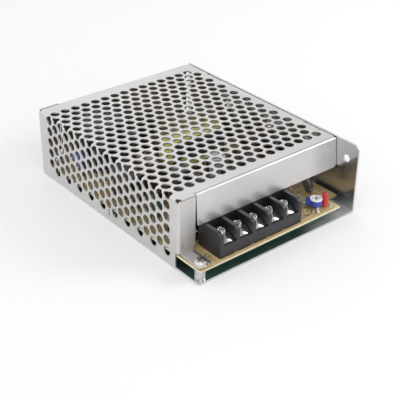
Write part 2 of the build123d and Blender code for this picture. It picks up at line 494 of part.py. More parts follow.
# links of bare wire on the board
links = []
for x0, x1, y in ((66.0, 76.2, 12.6), (20.0, 30.2, 20.5), (60.0, 70.2, 120.0)):
    z = PCB_Z1 + 0.45
    w = one(fuse([cyl_x(x0, x1, y, z, 0.3), lead(x0, y, 0.3, z), lead(x1, y, 0.3, z), Location((x0, y, z)) * Sphere(0.3), Location((x1, y, z)) * Sphere(0.3)]))
    links.append(w)
put("wire_links", links)

# -------------------------------------------------------------- circuit board
pcb = box(PCB_X0, PCB_X1, PCB_Y0, PCB_Y1, PCB_Z0, PCB_Z1) - box(NOTCH_X, PCB_X1 + 1, PCB_Y0 - 1, NOTCH_Y, PCB_Z0 - 1, PCB_Z1 + 1)
pcb -= [cyl(x, y, PCB_Z0 - 1, PCB_Z1 + 1, r) for x, y, r in LEADS] + [cyl(x, y, PCB_Z0 - 1, PCB_Z1 + 1, 1.65) for x, y in STANDOFFS]
put("circuit_board", pcb)

# --------------------------------------------------------------------- export
os.makedirs("parts", exist_ok=True)
for name, solids in PARTS.items():
    shape = solids[0] if len(solids) == 1 else Compound(children=list(solids))
    export_step(shape, "parts/%s.step" % name)
print(len(PARTS), "nodes")
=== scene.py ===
import math

import bmesh
import bpy
from mathutils import Matrix, Vector, geometry


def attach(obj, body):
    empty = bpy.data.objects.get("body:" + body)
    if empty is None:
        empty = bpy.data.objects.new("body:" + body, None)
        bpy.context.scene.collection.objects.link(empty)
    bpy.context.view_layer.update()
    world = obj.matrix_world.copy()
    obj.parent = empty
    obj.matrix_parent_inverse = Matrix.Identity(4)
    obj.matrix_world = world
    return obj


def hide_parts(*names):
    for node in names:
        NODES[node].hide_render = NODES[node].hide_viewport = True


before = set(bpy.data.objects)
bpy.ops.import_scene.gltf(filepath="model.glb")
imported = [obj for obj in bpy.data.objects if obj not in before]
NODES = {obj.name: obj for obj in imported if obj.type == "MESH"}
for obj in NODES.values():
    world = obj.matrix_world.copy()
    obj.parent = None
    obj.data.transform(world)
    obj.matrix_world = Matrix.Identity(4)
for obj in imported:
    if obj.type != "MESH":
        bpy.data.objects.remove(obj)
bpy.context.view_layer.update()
MM = 0.001
W, L, H = 98.0, 129.0, 36.0


def P(x, y, z):
    return Vector(((x - W / 2) * MM, (y - L / 2) * MM, z * MM))


# ------------------------------------------------------------------ materials
class Mat:
    def __init__(self, name):
        self.m = bpy.data.materials.new(name)
        self.m.use_nodes = True
        self.t = self.m.node_tree
        self.bsdf = self.t.nodes["Principled BSDF"]
        self.tc = self.t.nodes.new("ShaderNodeTexCoord")
        self.col = None

    def node(self, kind, **kw):
        n = self.t.nodes.new(kind)
        for k, v in kw.items():
            if k in n.inputs:
                n.inputs[k].default_value = v
            else:
                setattr(n, k, v)
        return n

    def link(self, a, b):
        self.t.links.new(a, b)

    def coords(self, scale=(1, 1, 1), rot=(0, 0, 0)):
        mp = self.t.nodes.new("ShaderNodeMapping")
        mp.inputs["Scale"].default_value = scale
        mp.inputs["Rotation"].default_value = rot
        self.link(self.tc.outputs["Object"], mp.inputs["Vector"])
        return mp.outputs["Vector"]

    def noise(self, vec, scale, detail=3.0, rough=0.5):
        n = self.node("ShaderNodeTexNoise")
        n.inputs["Scale"].default_value = scale
        n.inputs["Detail"].default_value = detail
        n.inputs["Roughness"].default_value = rough
        self.link(vec, n.inputs["Vector"])
        return n.outputs["Fac"]

    def ramp(self, fac, stops):
        r = self.node("ShaderNodeValToRGB")
        e = r.color_ramp.elements
        while len(e) < len(stops):
            e.new(0.5)
        for i, (p, c) in enumerate(stops):
            e[i].position = p
            e[i].color = (*c, 1.0) if isinstance(c, tuple) else (c, c, c, 1.0)
        self.link(fac, r.inputs["Fac"])
        return r.outputs["Color"]

    def mix(self, fac, a, b, kind="MIX"):
        n = self.node("ShaderNodeMix", data_type="RGBA", blend_type=kind)
        for sock, val in ((n.inputs["Factor"], fac), (n.inputs["A"], a), (n.inputs["B"], b)):
            pass
        ins = {i.identifier: i for i in n.inputs}
        for key, val in (("Factor_Float", fac), ("A_Color", a), ("B_Color", b)):
            if hasattr(val, "links"):
                self.link(val, ins[key])
            elif isinstance(val, tuple):
                ins[key].default_value = (*val, 1.0)
            else:
                ins[key].default_value = val
        outs = {o.identifier: o for o in n.outputs}
        return outs["Result_Color"]

    def math(self, op, a, b=0.0, c=None):
        n = self.node("ShaderNodeMath", operation=op)
        for i, v in enumerate((a, b) if c is None else (a, b, c)):
            if hasattr(v, "links"):
                self.link(v, n.inputs[i])
            else:
                n.inputs[i].default_value = v
        return n.outputs[0]

    def bump(self, height, strength, distance):
        b = self.node("ShaderNodeBump")
        b.inputs["Strength"].default_value = strength
        b.inputs["Distance"].default_value = distance
        self.link(height, b.inputs["Height"])
        if self.bsdf.inputs["Normal"].is_linked:
            self.link(self.bsdf.inputs["Normal"].links[0].from_socket, b.inputs["Normal"])
        self.link(b.outputs["Normal"], self.bsdf.inputs["Normal"])

    def set(self, **kw):
        names = {"color": "Base Color", "rough": "Roughness", "metal": "Metallic", "spec": "Specular IOR Level", "coat": "Coat Weight",
                 "coat_rough": "Coat Roughness", "trans": "Transmission Weight", "ior": "IOR", "sss": "Subsurface Weight",
                 "emit": "Emission Color", "emit_s": "Emission Strength", "aniso": "Anisotropic"}
        for k, v in kw.items():
            s = self.bsdf.inputs[names[k]]
            if hasattr(v, "links"):
                self.link(v, s)
            elif isinstance(v, tuple):
                s.default_value = (*v, 1.0)
            else:
                s.default_value = v
        return self


def second_lobe(a, colour, rough, share):
    # a broader reflection laid over the sharp one
    b = a.node("ShaderNodeBsdfPrincipled")
    b.inputs["Metallic"].default_value = 1.0
    a.link(colour, b.inputs["Base Color"])
    a.link(rough, b.inputs["Roughness"])
    a.link(a.bsdf.inputs["Normal"].links[0].from_socket, b.inputs["Normal"])
    m = a.node("ShaderNodeMixShader")
    if hasattr(share, "links"):
        a.link(share, m.inputs[0])
    else:
        m.inputs[0].default_value = share
    a.link(a.bsdf.outputs[0], m.inputs[1])
    a.link(b.outputs[0], m.inputs[2])
    out = [n for n in a.t.nodes if n.type == "OUTPUT_MATERIAL"][0]
    a.link(m.outputs[0], out.inputs["Surface"])


def band(a, socket, lo, hi, first, second):
    n = a.node("ShaderNodeMapRange")
    n.interpolation_type = "SMOOTHSTEP"
    n.inputs["From Min"].default_value = lo
    n.inputs["From Max"].default_value = hi
    n.inputs["To Min"].default_value = first
    n.inputs["To Max"].default_value = second
    a.link(socket, n.inputs["Value"])
    return n.outputs["Result"]


def sheet_metal(name, lo, hi, r_lo, r_hi, brush=(900, 12, 900), bump=0.12, spangle=0.0, broad=0.3, share=0.5, zones=()):
    a = Mat(name)
    fine = a.noise(a.coords(brush), 1.0, 4.0, 0.6)
    cloud = a.noise(a.coords(), 34.0, 3.0, 0.55)
    colour = a.ramp(cloud, [(0.3, lo), (0.72, hi)])
    streak = a.ramp(fine, [(0.25, (0.93, 0.93, 0.93)), (0.75, (1.0, 1.0, 1.0))])
    colour = a.mix(0.6, colour, streak, "MULTIPLY")
    rough = a.math("MULTIPLY_ADD", fine, (r_hi - r_lo) * 0.5, r_lo)
    rough = a.math("MULTIPLY_ADD", cloud, (r_hi - r_lo) * 0.6, rough)
    if spangle:
        v = a.node("ShaderNodeTexVoronoi")
        v.inputs["Scale"].default_value = 260.0
        a.link(a.coords(), v.inputs["Vector"])
        rough = a.math("MULTIPLY_ADD", a.ramp(v.outputs["Color"], [(0.2, 0.0), (0.8, 1.0)]), spangle, rough)
    a.set(color=colour, rough=rough, metal=1.0)
    a.bump(fine, bump, 0.00002)
    a.bump(a.noise(a.coords(), 60.0, 2.0), 0.10, 0.0002)
    broad_r, share_r = broad, share
    for facing, bands, share_there, more in zones:
        # a less handled place keeps a sharper reflection, a scuffed one a duller
        sp = a.node("ShaderNodeSeparateXYZ")
        a.link(a.tc.outputs["Object"], sp.inputs[0])
        there = None
        for axis, lo_, hi_, first, second in bands:
            k = band(a, sp.outputs[axis], lo_, hi_, first, second)
            there = k if there is None else a.math("MULTIPLY", there, k)
        if facing:
            nz = a.node("ShaderNodeSeparateXYZ")
            g = a.node("ShaderNodeNewGeometry")
            a.link(g.outputs["Normal"], nz.inputs[0])
            there = a.math("MULTIPLY", there, a.math("GREATER_THAN", nz.outputs[facing], 0.5))
        share_r = a.math("MULTIPLY_ADD", there, share_there - share, share_r)
        broad_r = a.math("MULTIPLY_ADD", there, more, broad_r)
    second_lobe(a, colour, a.math("MULTIPLY_ADD", cloud, 0.12, broad_r), share_r)
    return a.m


def plastic(name, colour, dark, rough=0.4, grain=900.0, bump=0.08, coat=0.0, spec=0.5, mottle=40.0):
    a = Mat(name)
    g = a.noise(a.coords(), grain, 3.0)
    m = a.noise(a.coords(), mottle, 3.0)
    a.set(color=a.ramp(m, [(0.32, dark), (0.68, colour)]), rough=a.math("MULTIPLY_ADD", g, 0.16, rough - 0.08), coat=coat, spec=spec)
    a.bump(g, bump, 0.00004)
    return a.m


def wire_metal(name, colour, dark, rough=0.22, scale=300.0):
    a = Mat(name)
    m = a.noise(a.coords(), scale, 4.0)
    a.set(color=a.ramp(m, [(0.3, dark), (0.7, colour)]), rough=a.math("MULTIPLY_ADD", m, 0.22, rough - 0.1), metal=1.0)
    a.bump(m, 0.08, 0.00005)
    return a.m


M_COVER = sheet_metal("cover_sheet_metal", (0.60, 0.59, 0.585), (0.70, 0.69, 0.685), 0.12, 0.24, brush=(1300, 1300, 26), bump=0.08, spangle=0.04, broad=0.38, share=0.72,
                      zones=(("", (("X", -0.0425, -0.0412, 0.0, 1.0), ("X", -0.0394, -0.0390, 1.0, 0.0), ("Y", -0.0511, -0.0508, 1.0, 0.0)), 0.30, 0.0),
                             ("", (("X", -0.0425, -0.0412, 1.0, 0.0), ("Y", -0.0511, -0.0508, 1.0, 0.0)), 1.0, 0.25),
                             ("", (("X", -0.0394, -0.0390, 1.0, 0.0), ("Y", -0.0505, -0.0502, 0.0, 1.0), ("Y", -0.0495, -0.0492, 1.0, 0.0)), 0.93, 0.12)))
M_CHASSIS = sheet_metal("chassis_sheet_metal", (0.64, 0.635, 0.64), (0.72, 0.715, 0.72), 0.03, 0.09, brush=(900, 30, 30), bump=0.02, broad=0.30, share=0.5,
                        zones=(("Z", (("X", 0.012, 0.024, 0.0, 1.0), ("Y", -0.050, -0.040, 1.0, 0.0)), 1.0, 0.22),))
M_PLATED = wire_metal("plated_screw", (0.74, 0.73, 0.70), (0.52, 0.51, 0.48), 0.16)
M_NICKEL = wire_metal("nickel_terminal", (0.80, 0.79, 0.76), (0.62, 0.61, 0.58), 0.30)
M_CLAMP = wire_metal("clamp_plate_metal", (0.56, 0.555, 0.54), (0.36, 0.355, 0.345), 0.20)
M_TIN = wire_metal("tinned_lead", (0.78, 0.77, 0.75), (0.50, 0.49, 0.48), 0.25)
# painted shade: the spreader's metal is set darker than its own colour to stand for the shade under the cover
M_ALU = wire_metal("spreader_metal", (0.40, 0.40, 0.40), (0.30, 0.30, 0.30), 0.42, 120.0)
M_BLACK = plastic("terminal_moulding", (0.024, 0.022, 0.028), (0.014, 0.013, 0.017), 0.38, 1400.0, 0.10)
M_SCREW = wire_metal("terminal_screw_metal", (0.52, 0.51, 0.50), (0.34, 0.33, 0.32), 0.14)
M_STAND = wire_metal("standoff_metal", (0.66, 0.66, 0.68), (0.42, 0.42, 0.45), 0.10)
M_EPOXY = plastic("device_epoxy", (0.030, 0.030, 0.030), (0.015, 0.015, 0.015), 0.55, 2200.0, 0.2)
M_BLUE = plastic("trimmer_blue", (0.030, 0.070, 0.42), (0.020, 0.045, 0.30), 0.30, 900.0, 0.05, coat=0.3)
M_WHITE = plastic("trimmer_white", (0.86, 0.86, 0.88), (0.80, 0.80, 0.83), 0.32, 900.0, 0.04, coat=0.2)


def slot_shade(mat, cx_, cy_, reach, depth, tone):
    # painted shade: the floor of the cross slot is darkened to stand for the shade in the recess
    t = mat.node_tree
    bsdf = t.nodes["Principled BSDF"]
    src = bsdf.inputs["Base Color"].links[0].from_socket
    co = t.nodes.new("ShaderNodeTexCoord")
    mp = t.nodes.new("ShaderNodeMapping")
    mp.inputs["Location"].default_value = (-cx_, -cy_, 0.0)
    t.links.new(co.outputs["Object"], mp.inputs["Vector"])
    sp = t.nodes.new("ShaderNodeSeparateXYZ")
    t.links.new(mp.outputs["Vector"], sp.inputs[0])
    flat_ = t.nodes.new("ShaderNodeCombineXYZ")
    t.links.new(sp.outputs["X"], flat_.inputs["X"])
    t.links.new(sp.outputs["Y"], flat_.inputs["Y"])
    ln = t.nodes.new("ShaderNodeVectorMath")
    ln.operation = "LENGTH"
    t.links.new(flat_.outputs[0], ln.inputs[0])
    near = t.nodes.new("ShaderNodeMath")
    near.operation = "LESS_THAN"
    t.links.new(ln.outputs["Value"], near.inputs[0])
    near.inputs[1].default_value = reach
    low = t.nodes.new("ShaderNodeMath")
    low.operation = "LESS_THAN"
    t.links.new(sp.outputs["Z"], low.inputs[0])
    low.inputs[1].default_value = depth
    both = t.nodes.new("ShaderNodeMath")
    both.operation = "MULTIPLY"
    t.links.new(near.outputs[0], both.inputs[0])
    t.links.new(low.outputs[0], both.inputs[1])
    mx = t.nodes.new("ShaderNodeMix")
    mx.data_type = "RGBA"
    ins = {i.identifier: i for i in mx.inputs}
    outs = {o.identifier: o for o in mx.outputs}
    t.links.new(both.outputs[0], ins["Factor_Float"])
    t.links.new(src, ins["A_Color"])
    ins["B_Color"].default_value = (*tone, 1.0)
    t.links.new(outs["Result_Color"], bsdf.inputs["Base Color"])


# painted shade in the dial's cross slot
slot_shade(M_WHITE, (77.9 - W / 2) * MM, (7.0 - L / 2) * MM, 0.0029, 0.01225, (0.20, 0.20, 0.22))
# painted shade: the grey cans are set darker than their own colour to stand for the shade under the cover
M_GREYCAN = plastic("can_grey", (0.075, 0.075, 0.083), (0.050, 0.050, 0.057), 0.34, 500.0, 0.03, coat=0.3)
M_BLACKCAN = plastic("can_black", (0.030, 0.028, 0.034), (0.016, 0.015, 0.020), 0.24, 500.0, 0.03, coat=0.5)
M_LEAN = plastic("can_black_gloss", (0.050, 0.045, 0.055), (0.030, 0.027, 0.034), 0.30, 500.0, 0.02, coat=1.0)
M_FERRITE = plastic("ferrite_grey", (0.060, 0.058, 0.055), (0.030, 0.029, 0.028), 0.55, 700.0, 0.25)
M_TAPE = plastic("yellow_tape", (0.74, 0.76, 0.26), (0.58, 0.60, 0.14), 0.20, 120.0, 0.25, coat=0.5, mottle=90.0)
M_FILM = plastic("box_dark", (0.060, 0.050, 0.040), (0.035, 0.030, 0.024), 0.34, 900.0, 0.06)
# painted shade: the brown dip is set darker than its own colour to stand for the shade under the cover
M_BROWN = plastic("dipped_brown", (0.14, 0.065, 0.02), (0.08, 0.035, 0.011), 0.22, 200.0, 0.1, coat=0.6)
M_DISC = plastic("dipped_blue", (0.05, 0.16, 0.48), (0.03, 0.10, 0.34), 0.28, 300.0, 0.10, coat=0.4)


def by_place(mat, first, second, x_max, y_min, x_min=-1.0, y_max=1.0):
    # the devices of one node that lie inside the given rectangle take the second colour
    t = mat.node_tree
    bsdf = t.nodes["Principled BSDF"]
    co = t.nodes.new("ShaderNodeTexCoord")
    sp = t.nodes.new("ShaderNodeSeparateXYZ")
    t.links.new(co.outputs["Object"], sp.inputs[0])
    fac = None
    for ch, op, val in (("X", "LESS_THAN", x_max), ("X", "GREATER_THAN", x_min), ("Y", "GREATER_THAN", y_min), ("Y", "LESS_THAN", y_max)):
        n = t.nodes.new("ShaderNodeMath")
        n.operation = op
        t.links.new(sp.outputs[ch], n.inputs[0])
        n.inputs[1].default_value = val
        if fac is None:
            fac = n.outputs[0]
        else:
            k = t.nodes.new("ShaderNodeMath")
            k.operation = "MULTIPLY"
            t.links.new(fac, k.inputs[0])
            t.links.new(n.outputs[0], k.inputs[1])
            fac = k.outputs[0]
    nz = t.nodes.new("ShaderNodeTexNoise")
    nz.inputs["Scale"].default_value = 120.0
    t.links.new(co.outputs["Object"], nz.inputs["Vector"])
    tone = t.nodes.new("ShaderNodeValToRGB")
    for e, c in zip(tone.color_ramp.elements, first):
        e.color = (*c, 1.0)
    tone.color_ramp.elements[0].position, tone.color_ramp.elements[1].position = 0.35, 0.65
    t.links.new(nz.outputs["Fac"], tone.inputs["Fac"])
    alt = t.nodes.new("ShaderNodeValToRGB")
    for e, c in zip(alt.color_ramp.elements, second):
        e.color = (*c, 1.0)
    alt.color_ramp.elements[0].position, alt.color_ramp.elements[1].position = 0.35, 0.65
    t.links.new(nz.outputs["Fac"], alt.inputs["Fac"])
    mx = t.nodes.new("ShaderNodeMix")
    mx.data_type = "RGBA"
    ins = {i.identifier: i for i in mx.inputs}
    outs = {o.identifier: o for o in mx.outputs}
    t.links.new(fac, ins["Factor_Float"])
    t.links.new(tone.outputs["Color"], ins["A_Color"])
    t.links.new(alt.outputs["Color"], ins["B_Color"])
    t.links.new(outs["Result_Color"], bsdf.inputs["Base Color"])


by_place(M_DISC, ((0.045, 0.026, 0.014), (0.080, 0.044, 0.022)), ((0.015, 0.045, 0.17), (0.025, 0.075, 0.25)), -0.03, 0.02)
M_OUTCAN = plastic("can_grey_output", (0.34, 0.33, 0.36), (0.26, 0.25, 0.29), 0.34, 500.0, 0.03, coat=0.3)
by_place(M_OUTCAN, ((0.020, 0.020, 0.023), (0.036, 0.035, 0.040)), ((0.60, 0.58, 0.66), (0.72, 0.70, 0.78)), 0.0055, -0.0215, -0.0045, -0.011)
# painted shade: the green dip is set darker than its own colour to stand for the shade under the cover
M_NTC = plastic("dipped_green", (0.05, 0.11, 0.05), (0.02, 0.05, 0.02), 0.5, 300.0, 0.2)
M_BOBBIN = plastic("bobbin_dark", (0.045, 0.038, 0.030), (0.025, 0.020, 0.016), 0.45, 900.0, 0.1)
M_RES = plastic("resistor_tan", (0.50, 0.40, 0.24), (0.40, 0.30, 0.16), 0.40, 900.0, 0.1)
M_PAD = plastic("pad_grey", (0.45, 0.47, 0.50), (0.38, 0.40, 0.43), 0.6, 500.0, 0.1)

a = Mat("choke_powder")
a.set(color=a.ramp(a.noise(a.coords(), 500.0, 4.0), [(0.3, (0.12, 0.12, 0.03)), (0.7, (0.26, 0.25, 0.06))]), rough=0.5)
a.bump(a.noise(a.coords(), 900.0), 0.2, 0.0001)
M_POWDER = a.m

# painted shade: the winding bands are set much darker than copper to stand for the shade under the cover
a = Mat("copper_winding")
w = a.node("ShaderNodeTexWave", wave_type="BANDS", bands_direction="X")
w.inputs["Scale"].default_value = 420.0
w.inputs["Distortion"].default_value = 0.6
a.link(a.coords(), w.inputs["Vector"])
a.set(color=a.ramp(w.outputs["Fac"], [(0.1, (0.020, 0.010, 0.006)), (0.7, (0.12, 0.060, 0.030))]), rough=0.28, metal=0.75, coat=0.4)
a.bump(w.outputs["Fac"], 0.6, 0.0002)
M_COPPER = a.m

a = Mat("glass_tube")
a.set(color=(0.92, 0.95, 0.95), rough=a.math("MULTIPLY_ADD", a.noise(a.coords(), 300.0), 0.05, 0.02), trans=0.9, ior=1.45)
M_GLASS = a.m

a = Mat("lamp_resin")
a.set(color=a.ramp(a.noise(a.coords(), 400.0), [(0.3, (0.50, 0.004, 0.006)), (0.7, (0.72, 0.012, 0.016))]), rough=0.12, trans=0.45, ior=1.5,
      coat=0.5, emit=(0.6, 0.0, 0.005), emit_s=0.10)
M_LAMP = a.m

# board: tan top, cream cut edge, green solder side with pale tracks; painted shade darkens the top under the cover
a = Mat("board_laminate")
geo = a.node("ShaderNodeNewGeometry")
sx = a.node("ShaderNodeSeparateXYZ")
a.link(geo.outputs["Normal"], sx.inputs[0])
up = a.math("GREATER_THAN", sx.outputs["Z"], 0.5)
down = a.math("LESS_THAN", sx.outputs["Z"], -0.5)
fib = a.noise(a.coords((700, 160, 300)), 1.0, 4.0)
blot = a.noise(a.coords(), 120.0, 4.0)
tan = a.ramp(fib, [(0.25, (0.46, 0.335, 0.155)), (0.75, (0.56, 0.43, 0.225))])
tan = a.mix(0.5, tan, a.ramp(blot, [(0.35, (0.80, 0.78, 0.70)), (0.65, (1.0, 1.0, 1.0))]), "MULTIPLY")
br = a.node("ShaderNodeTexBrick")
br.inputs["Scale"].default_value = 1.0
br.inputs["Color1"].default_value = (0.62, 0.62, 0.42, 1)
br.inputs["Color2"].default_value = (1.0, 1.0, 1.0, 1)
br.inputs["Mortar"].default_value = (0.92, 0.92, 0.84, 1)
br.inputs["Mortar Size"].default_value = 0.04
br.inputs["Brick Width"].default_value = 0.9
br.inputs["Row Height"].default_value = 0.42
br.offset = 0.37
a.link(a.coords((95, 95, 95), (0, 0, 0.0)), br.inputs["Vector"])
tan = a.mix(0.42, tan, br.outputs["Color"], "MULTIPLY")
# painted shade: the top under the cover is darkened to stand for the shade there, fading in from the front ledge and
# the left side and easing off towards the right
px_ = a.node("ShaderNodeSeparateXYZ")
a.link(a.tc.outputs["Object"], px_.inputs[0])
deep = a.node("ShaderNodeMapRange")
deep.inputs["From Min"].default_value = -0.049
deep.inputs["From Max"].default_value = -0.040
a.link(px_.outputs["Y"], deep.inputs["Value"])
mid = a.node("ShaderNodeMapRange")
mid.inputs["From Min"].default_value = -0.034
mid.inputs["From Max"].default_value = -0.024
a.link(px_.outputs["X"], mid.inputs["Value"])
shade_under_cover = a.math("MULTIPLY", deep.outputs["Result"], mid.outputs["Result"])
shade_under_cover = a.math("MULTIPLY", shade_under_cover, band(a, px_.outputs["X"], 0.022, 0.034, 1.0, 0.15))
tan = a.mix(shade_under_cover, tan, (0.34, 0.34, 0.36), "MULTIPLY")
edge = a.ramp(fib, [(0.2, (0.70, 0.60, 0.40)), (0.8, (0.84, 0.76, 0.56))])
tr = a.node("ShaderNodeTexBrick")
tr.inputs["Color1"].default_value = (0.014, 0.13, 0.10, 1)
tr.inputs["Color2"].default_value = (0.030, 0.20, 0.16, 1)
tr.inputs["Mortar"].default_value = (0.22, 0.34, 0.30, 1)
tr.inputs["Scale"].default_value = 1.0
tr.inputs["Mortar Size"].default_value = 0.05
tr.inputs["Brick Width"].default_value = 1.3
tr.inputs["Row Height"].default_value = 0.5
a.link(a.coords((110, 110, 110)), tr.inputs["Vector"])
col = a.mix(up, edge, tan)
col = a.mix(down, col, tr.outputs["Color"])
a.set(color=col, rough=a.math("MULTIPLY_ADD", blot, 0.2, 0.34), coat=0.15)
a.bump(fib, 0.05, 0.00003)
M_BOARD = a.m

a = Mat("board_print")
a.set(color=a.ramp(a.noise(a.coords(), 800.0), [(0.3, (0.62, 0.58, 0.44)), (0.7, (0.78, 0.74, 0.60))]), rough=0.6)
M_PRINT = a.m
a = Mat("board_shadow_print")
a.set(color=a.ramp(a.noise(a.coords(), 800.0), [(0.3, (0.035, 0.03, 0.02)), (0.7, (0.06, 0.05, 0.03))]), rough=0.6)
M_INK = a.m

a = Mat("solder_joint")
a.set(color=a.ramp(a.noise(a.coords(), 900.0), [(0.3, (0.55, 0.55, 0.54)), (0.7, (0.72, 0.72, 0.70))]), rough=0.28, metal=1.0)
M_SOLDER = a.m

MATERIAL = {
    "perforated_cover": M_COVER, "chassis": M_CHASSIS, "board_screws": M_PLATED, "screw_washers": M_PLATED, "side_screws": M_PLATED,
    "device_screws": M_PLATED, "board_standoffs": M_STAND, "circuit_board": M_BOARD, "terminal_block_housing": M_BLACK,
    "terminal_contacts": M_NICKEL, "trimmer_base": M_BLUE, "trimmer_dial": M_WHITE, "trimmer_pins": M_TIN, "indicator_lamp": M_LAMP,
    "lamp_leads": M_TIN, "leaning_capacitor": M_LEAN, "transformer_core": M_FERRITE, "transformer_bobbin": M_BOBBIN,
    "transformer_winding": M_TAPE, "core_tape": M_TAPE, "transformer_pins": M_TIN, "output_capacitors": M_OUTCAN,
    "small_capacitors": M_GREYCAN, "bulk_capacitor": M_BLACKCAN, "mains_film_capacitor": M_FILM, "snubber_capacitor": M_BROWN,
    "brown_film_capacitor": M_BROWN, "safety_capacitors": M_DISC, "thermistor": M_NTC, "choke_core": M_FERRITE, "choke_windings": M_COPPER,
    "choke_base": M_BOBBIN, "choke_pins": M_TIN, "fuse_tube": M_GLASS, "fuse_caps": M_TIN, "fuse_clips": M_TIN, "heat_spreader": M_ALU,
    "thermal_pads": M_PAD, "device_tabs": M_TIN, "power_devices": M_EPOXY, "bridge_rectifier": M_EPOXY, "output_choke_core": M_POWDER,
    "output_choke_winding": M_COPPER, "control_chip": M_EPOXY, "optocoupler": M_EPOXY, "power_resistor": M_RES, "signal_resistors": M_RES,
    "signal_diodes": M_EPOXY, "wire_links": M_TIN}
for k in range(1, 6):
    MATERIAL["clamp_plate_%d" % k] = M_CLAMP
    MATERIAL["terminal_screw_%d" % k] = M_SCREW

BEVEL = {"terminal_block_housing": 0.14, "board_screws": 0.10, "board_standoffs": 0.10, "screw_washers": 0.08, "trimmer_base": 0.12,
         "transformer_core": 0.3, "transformer_bobbin": 0.15, "choke_core": 0.3, "heat_spreader": 0.15, "power_devices": 0.2,
         "terminal_contacts": 0.07}


def refine(obj, width):
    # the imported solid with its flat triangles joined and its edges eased
    for attr in list(obj.data.attributes):
        if attr.name == "custom_normal":
            obj.data.attributes.remove(attr)
    wd = obj.modifiers.new("weld", "WELD")
    wd.merge_threshold = 0.000002
    if width > 0:
        d = obj.modifiers.new("flat", "DECIMATE")
        d.decimate_type = "DISSOLVE"
        d.angle_limit = math.radians(1.5)
        b = obj.modifiers.new("ease", "BEVEL")
        b.width = width * MM
        b.segments = 2
        b.limit_method = "ANGLE"
        b.angle_limit = math.radians(32)
        b.harden_normals = False
    for poly in obj.data.polygons:
        poly.use_smooth = True
    n = obj.modifiers.new("normals", "WEIGHTED_NORMAL")
    n.keep_sharp = True


for name, obj in NODES.items():
    m = MATERIAL.get(name, M_TIN)
    obj.data.materials.clear()
    obj.data.materials.append(m)


# ------------------------------------------------------------------- geometry
def link(obj, body, mat=None, replaces=None):
    bpy.context.scene.collection.objects.link(obj)
    if mat is not None:
        obj.data.materials.append(mat)
    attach(obj, body)
    if replaces:
        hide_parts(*replaces)
    return obj


def finish_normals(me, angle=32.0):
    for p in me.polygons:
        p.use_smooth = True
    me.set_sharp_from_angle(angle=math.radians(angle))


def circle(u, v, r, n=24, phase=0.0):
    return [(u + r * math.cos(phase + 2 * math.pi * i / n), v + r * math.sin(phase + 2 * math.pi * i / n)) for i in range(n)]


def area(loop):
    return 0.5 * sum(loop[i][0] * loop[(i + 1) % len(loop)][1] - loop[(i + 1) % len(loop)][0] * loop[i][1] for i in range(len(loop)))


def inset(loop, d):
    # moves each corner of a loop to its left by d
    n = len(loop)
    out = []
    for i in range(n):
        a_, b_, c_ = Vector(loop[i - 1]), Vector(loop[i]), Vector(loop[(i + 1) % n])
        e, f = (b_ - a_).normalized(), (c_ - b_).normalized()
        ne, nf = Vector((-e.y, e.x)), Vector((-f.y, f.x))
        k = ne + nf
        s = max(0.35, 1 + ne.dot(nf))
        out.append((b_.x + k.x * d / s, b_.y + k.y * d / s))
    return out


def inside(pt, loop):
    x, y = pt
    hit = False
    for i in range(len(loop)):
        (x1, y1), (x2, y2) = loop[i], loop[i - 1]
        if (y1 > y) != (y2 > y) and x < (x2 - x1) * (y - y1) / (y2 - y1) + x1:
            hit = not hit
    return hit


